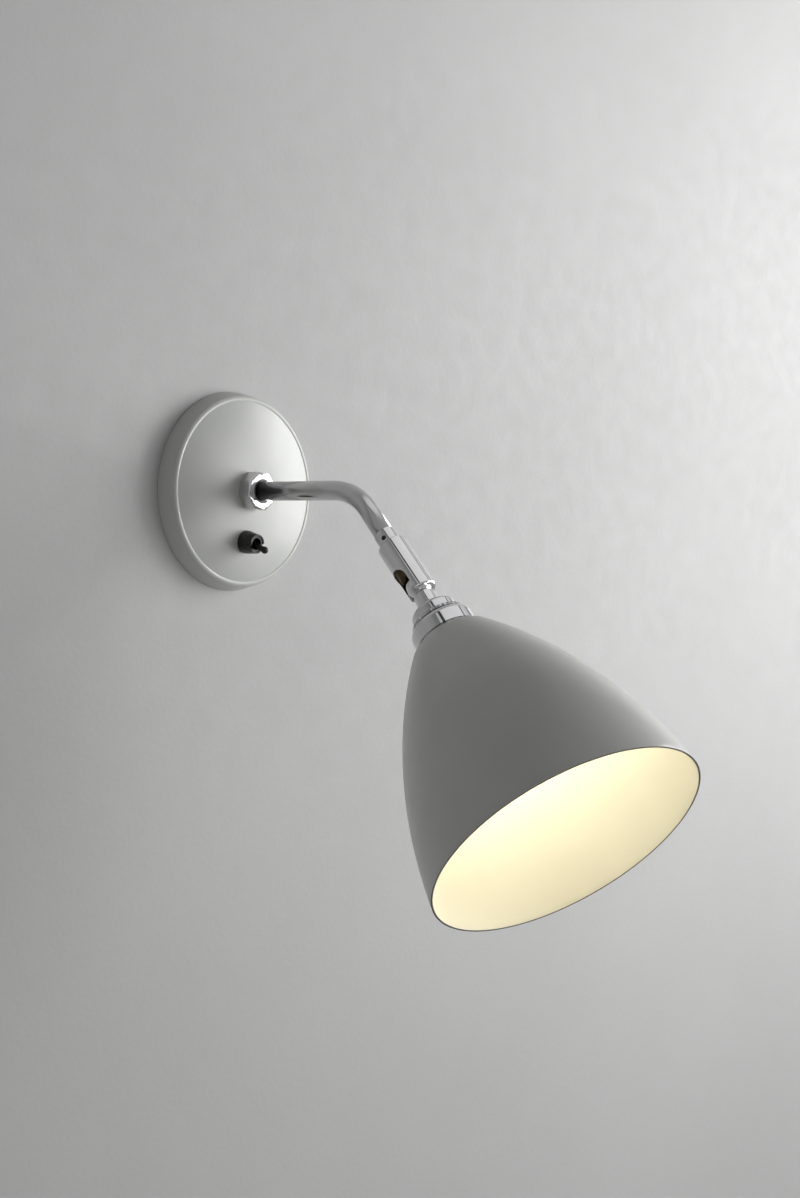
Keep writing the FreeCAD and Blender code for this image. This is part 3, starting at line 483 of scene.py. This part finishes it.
# pearl bulb
bulb = dict(neck=10.1, neckEnd=69.9, foot=63.6, join=0.64, centre=92.0, radius=22.5)


def addBulb():
    b = bulb
    join = (b["radius"] * b["join"], b["centre"] - b["radius"] * math.sqrt(1 - b["join"] ** 2))
    neck = (b["neck"], b["neckEnd"])
    bm = turnedShape([(0.0, b["foot"]), (b["neck"], b["foot"]), neck, (bowedMiddle(neck, join, 0.05), join, 10),
                      ((b["radius"], b["centre"]), (0.0, b["centre"] + b["radius"]), 28)], steps=64)
    return addPiece(bm, "bulbGlobe", [made["pearlGlass"]], "head", ["bulb_glass"], headPlace,
                    weighted=False)


addRose()
addBell()
addArm()
addHolder()
addBulb()
print("spun and drawn pieces made")



def addRoseScrews():
    # the same two screws with their heads drawn in under the dish
    bm = bmesh.new()
    bm.from_mesh(nodes["rose_screws"].data)
    bmesh.ops.remove_doubles(bm, verts=bm.verts, dist=meshing["copyJoin"])
    heads = [vert for vert in bm.verts if math.hypot(vert.co.x, vert.co.z) > rose["screwSeat"] / 1000]
    for vert in heads:
        vert.co -= Vector((vert.co.x, 0, vert.co.z)).normalized() * rose["screwSunk"] / 1000
    return addPiece(bm, "roseScrews", [made["zincSteel"]], "base", ["rose_screws"])


addRoseScrews()

copies = [
    ("gland_nut", "glandNut", "polishedChrome", "base", "chrome", 0.5),
    ("knuckle_adapter", "kneeAdapter", "polishedChrome", "arm", "chrome", 0.08),
    ("knuckle_sleeve", "kneeSleeve", "polishedChrome", "socket", "chrome", 0.12),
    # the pad's dark finish is painted shade for the slot it sits behind
    ("pressure_pad", "ballPad", "slotShadeBrass", "socket", "brass", 0.0),
    ("ball_stem", "ballStem", "polishedChrome", "ball", "chrome", 0.1),
    ("switch_ring", "switchRing", "blackBakelite", "base", "bakelite", 0.15),
    ("switch_lever", "switchDolly", "blackBakelite", "lever", "bakelite", 0.1),
    ("holder_barrel", "holderBarrel", "dullBrass", "head", "holder_brass", 0.1),
    ("bulb_cap", "bulbCap", "dullBrass", "head", "bulb_brass", 0.15),
    ("wall_plate", "wallPlate", "zincSteel", "base", "zinc_plate", 0.15),
]
for node, name, finish, body, slotName, width in copies:
    dressedCopy(node, name, made[finish], body, width)
print("copies dressed:", len(copies))

# the rest keep their CAD shape and get a better material
nodeFinish = {
    "zincSteel": ("stop_peg", "wave_washer", "gland_end_ring", "disc_springs"),
    "turnedBrass": ("gland_body", "terminal_screws", "earth_screw", "switch_tabs", "stop_collar", "pivot_nut",
                    "stem_nut", "holder_contacts"),
    "blackNylon": ("friction_bush",),
    "whitePorcelain": ("terminal_block", "holder_insert"),
    "blackBakelite": ("switch_body",),
    "blackOxide": ("adapter_screw",),
}
for finish, names in nodeFinish.items():
    for name in names:
        for slotHolder in nodes[name].material_slots:
            slotHolder.material = made[finish]


# room: a painted wall at the lamp's back and a pale floor far below, both seen from one side only
room = dict(wallGap=0.0004, wallRadius=4.2, wallHole=0.0585, floor=-1.35, floorHalf=3.0, floorLift=0.30,
            paint=(0.60, 0.60, 0.595), paintDark=(0.57, 0.57, 0.565))


def oneSided(name, look, lift=0.0):
    # clear from behind; lift makes it paler for the camera alone
    material = newFinish(name, look)
    tree = material.node_tree
    shader = tree.nodes["Principled BSDF"]
    out = tree.nodes["Material Output"]
    clear = tree.nodes.new("ShaderNodeBsdfTransparent")
    side = tree.nodes.new("ShaderNodeNewGeometry")
    mix = tree.nodes.new("ShaderNodeMixShader")
    path = tree.nodes.new("ShaderNodeLightPath")
    share = tree.nodes.new("ShaderNodeMath")
    share.operation = "MULTIPLY"
    share.inputs[1].default_value = lift
    pale = tree.nodes.new("ShaderNodeEmission")
    both = tree.nodes.new("ShaderNodeAddShader")
    tree.links.new(path.outputs["Is Camera Ray"], share.inputs[0])
    tree.links.new(share.outputs[0], pale.inputs["Strength"])
    tree.links.new(shader.outputs["BSDF"], both.inputs[0])
    tree.links.new(pale.outputs["Emission"], both.inputs[1])
    tree.links.new(side.outputs["Backfacing"], mix.inputs["Fac"])
    tree.links.new(both.outputs["Shader"], mix.inputs[1])
    tree.links.new(clear.outputs["BSDF"], mix.inputs[2])
    tree.links.new(mix.outputs["Shader"], out.inputs["Surface"])
    return material


def addSheet(bm, name, finish):
    mesh = bpy.data.meshes.new(name)
    bm.to_mesh(mesh)
    bm.free()
    mesh.materials.append(finish)
    sheet = bpy.data.objects.new(name, mesh)
    bpy.context.scene.collection.objects.link(sheet)
    return sheet


def addRoom():
    look = dict(light=room["paint"], dark=room["paintDark"], patch=5, speck=260, specks=0.25,
                rough=(0.6, 0.75), marks=300, bump=0.28, depth=0.0004)
    # the wall is open behind the rose, where the cable comes out, so light reaches the plate's back
    wall = bmesh.new()
    bmesh.ops.create_circle(wall, segments=96, radius=room["wallHole"])
    outer = bmesh.ops.extrude_edge_only(wall, edges=wall.edges)["geom"]
    grow = room["wallRadius"] / room["wallHole"]
    bmesh.ops.scale(wall, verts=[part for part in outer if isinstance(part, bmesh.types.BMVert)],
                    vec=(grow, grow, 1))
    upright = Matrix.Translation((0, room["wallGap"], 0)) @ Matrix.Rotation(math.radians(90), 4, "X")
    bmesh.ops.transform(wall, matrix=upright, verts=wall.verts)
    wall.normal_update()
    bmesh.ops.reverse_faces(wall, faces=[face for face in wall.faces if face.normal.y > 0])
    addSheet(wall, "wallSheet", oneSided("wallPaint", look))
    floor = bmesh.new()
    bmesh.ops.create_grid(floor, x_segments=4, y_segments=4, size=room["floorHalf"],
                          matrix=Matrix.Translation((0, -room["floorHalf"], room["floor"])))
    addSheet(floor, "floorSheet", oneSided("floorPaint", look, room["floorLift"]))


# sky: pale for the camera and for reflections, and paler overhead, dimmer as light
sky = dict(ambient=0.18, dark=0.40, pale=0.62, overhead=0.55, overheadFrom=0.62, overheadTo=0.9,
           tint=(0.95, 0.97, 1.0))


def addSky():
    world = bpy.data.worlds.new("studio")
    bpy.context.scene.world = world
    world.use_nodes = True
    tree = world.node_tree
    back = tree.nodes["Background"]
    out = tree.nodes["World Output"]
    seen = tree.nodes.new("ShaderNodeBackground")
    mix = tree.nodes.new("ShaderNodeMixShader")
    path = tree.nodes.new("ShaderNodeLightPath")
    spot = tree.nodes.new("ShaderNodeTexCoord")
    split = tree.nodes.new("ShaderNodeSeparateXYZ")
    ramp = tree.nodes.new("ShaderNodeMapRange")
    overhead = tree.nodes.new("ShaderNodeMapRange")
    level = tree.nodes.new("ShaderNodeMath")
    level.operation = "ADD"
    total = tree.nodes.new("ShaderNodeMath")
    total.operation = "ADD"
    total.use_clamp = True
    both = tree.nodes.new("ShaderNodeMath")
    both.operation = "ADD"
    both.use_clamp = True
    back.inputs["Color"].default_value = (*sky["tint"], 1)
    back.inputs["Strength"].default_value = sky["ambient"]
    ramp.inputs["From Min"].default_value = -1
    ramp.inputs["To Min"].default_value = sky["dark"]
    ramp.inputs["To Max"].default_value = sky["pale"]
    tree.links.new(spot.outputs["Generated"], split.inputs[0])
    tree.links.new(split.outputs["X"], ramp.inputs["Value"])
    overhead.inputs["From Min"].default_value = sky["overheadFrom"]
    overhead.inputs["From Max"].default_value = sky["overheadTo"]
    overhead.inputs["To Max"].default_value = sky["overhead"]
    tree.links.new(split.outputs["Z"], overhead.inputs["Value"])
    tree.links.new(ramp.outputs["Result"], level.inputs[0])
    tree.links.new(overhead.outputs["Result"], level.inputs[1])
    tree.links.new(level.outputs[0], seen.inputs["Strength"])
    tree.links.new(path.outputs["Is Camera Ray"], both.inputs[0])
    tree.links.new(path.outputs["Is Glossy Ray"], both.inputs[1])
    tree.links.new(both.outputs[0], total.inputs[0])
    tree.links.new(path.outputs["Is Transmission Ray"], total.inputs[1])
    tree.links.new(total.outputs[0], mix.inputs["Fac"])
    tree.links.new(back.outputs[0], mix.inputs[1])
    tree.links.new(seen.outputs[0], mix.inputs[2])
    tree.links.new(mix.outputs[0], out.inputs["Surface"])


# a window's light from the right, the room's in front and a weak bounce from below
softLights = {
    "windowLight": dict(at=(1.65, -0.75, 0.45), aim=(0.1, -0.15, -0.02), size=(0.9, 1.2), power=24.0,
                        colour=(1.0, 1.0, 1.0)),
    "roomLight": dict(at=(0.68, -0.85, 0.1), aim=(-0.6, 0.0, 0.8), size=(0.7, 0.8), power=4.2,
                      colour=(1.0, 1.0, 1.0)),
    "bounceLight": dict(at=(-0.7, -1.7, -1.1), aim=(0.0, -0.25, -0.15), size=(1.2, 1.2), power=2.5,
                        colour=(1.0, 0.96, 0.88)),
}


def addLights():
    for name, soft in softLights.items():
        data = bpy.data.lights.new(name, "AREA")
        data.shape = "RECTANGLE"
        data.size, data.size_y = soft["size"]
        data.energy = soft["power"]
        data.color = soft["colour"]
        lamp = bpy.data.objects.new(name, data)
        bpy.context.scene.collection.objects.link(lamp)
        lamp.location = soft["at"]
        toward = Vector(soft["aim"]) - Vector(soft["at"])
        lamp.rotation_euler = toward.to_track_quat("-Z", "Y").to_euler()
        lamp.visible_camera = False


# dark flags overhead that only reflections see, for the lines in the chrome
flags = {
    "leftFlag": dict(at=(-1.02, -0.6, 1.3), size=(0.26, 1.1)),
    "rightFlag": dict(at=(0.78, -0.6, 1.3), size=(0.13, 1.1)),
}


def addFlags():
    felt = newFinish("flagFelt", dict(light=(0.12, 0.12, 0.12), dark=(0.09, 0.09, 0.09), rough=(0.8, 0.9)))
    for name, flag in flags.items():
        bm = bmesh.new()
        bmesh.ops.create_grid(bm, x_segments=1, y_segments=1, size=0.5)
        bmesh.ops.scale(bm, vec=(flag["size"][0], flag["size"][1], 1), verts=bm.verts)
        bmesh.ops.translate(bm, vec=flag["at"], verts=bm.verts)
        sheet = addSheet(bm, name, felt)
        sheet.visible_camera = sheet.visible_diffuse = sheet.visible_shadow = False


# camera fitted to the photograph
lens = dict(target=(0.0946, -0.060, -0.05326), distance=1.23764, azimuth=-49.02, elevation=-3.69, roll=5.34,
            length=90.0, sensor=36.0)


def addCamera():
    data = bpy.data.cameras.new("photoCamera")
    data.lens = lens["length"]
    data.sensor_width = lens["sensor"]
    data.sensor_fit = "HORIZONTAL"
    data.clip_start, data.clip_end = 0.01, 50
    camera = bpy.data.objects.new("photoCamera", data)
    bpy.context.scene.collection.objects.link(camera)
    a, e, r = (math.radians(lens[key]) for key in ("azimuth", "elevation", "roll"))
    back = Vector((math.sin(a) * math.cos(e), -math.cos(a) * math.cos(e), math.sin(e)))
    right = Vector((math.cos(a), math.sin(a), 0))
    up = back.cross(right)
    turnedRight = right * math.cos(r) + up * math.sin(r)
    turnedUp = up * math.cos(r) - right * math.sin(r)
    place = Matrix((turnedRight, turnedUp, back)).transposed().to_4x4()
    place.translation = Vector(lens["target"]) + back * lens["distance"]
    camera.matrix_world = place
    bpy.context.scene.camera = camera


addRoom()
addSky()
addLights()
addFlags()
addCamera()
bpy.context.scene.view_settings.view_transform = "Standard"
print("room, lights and camera made")
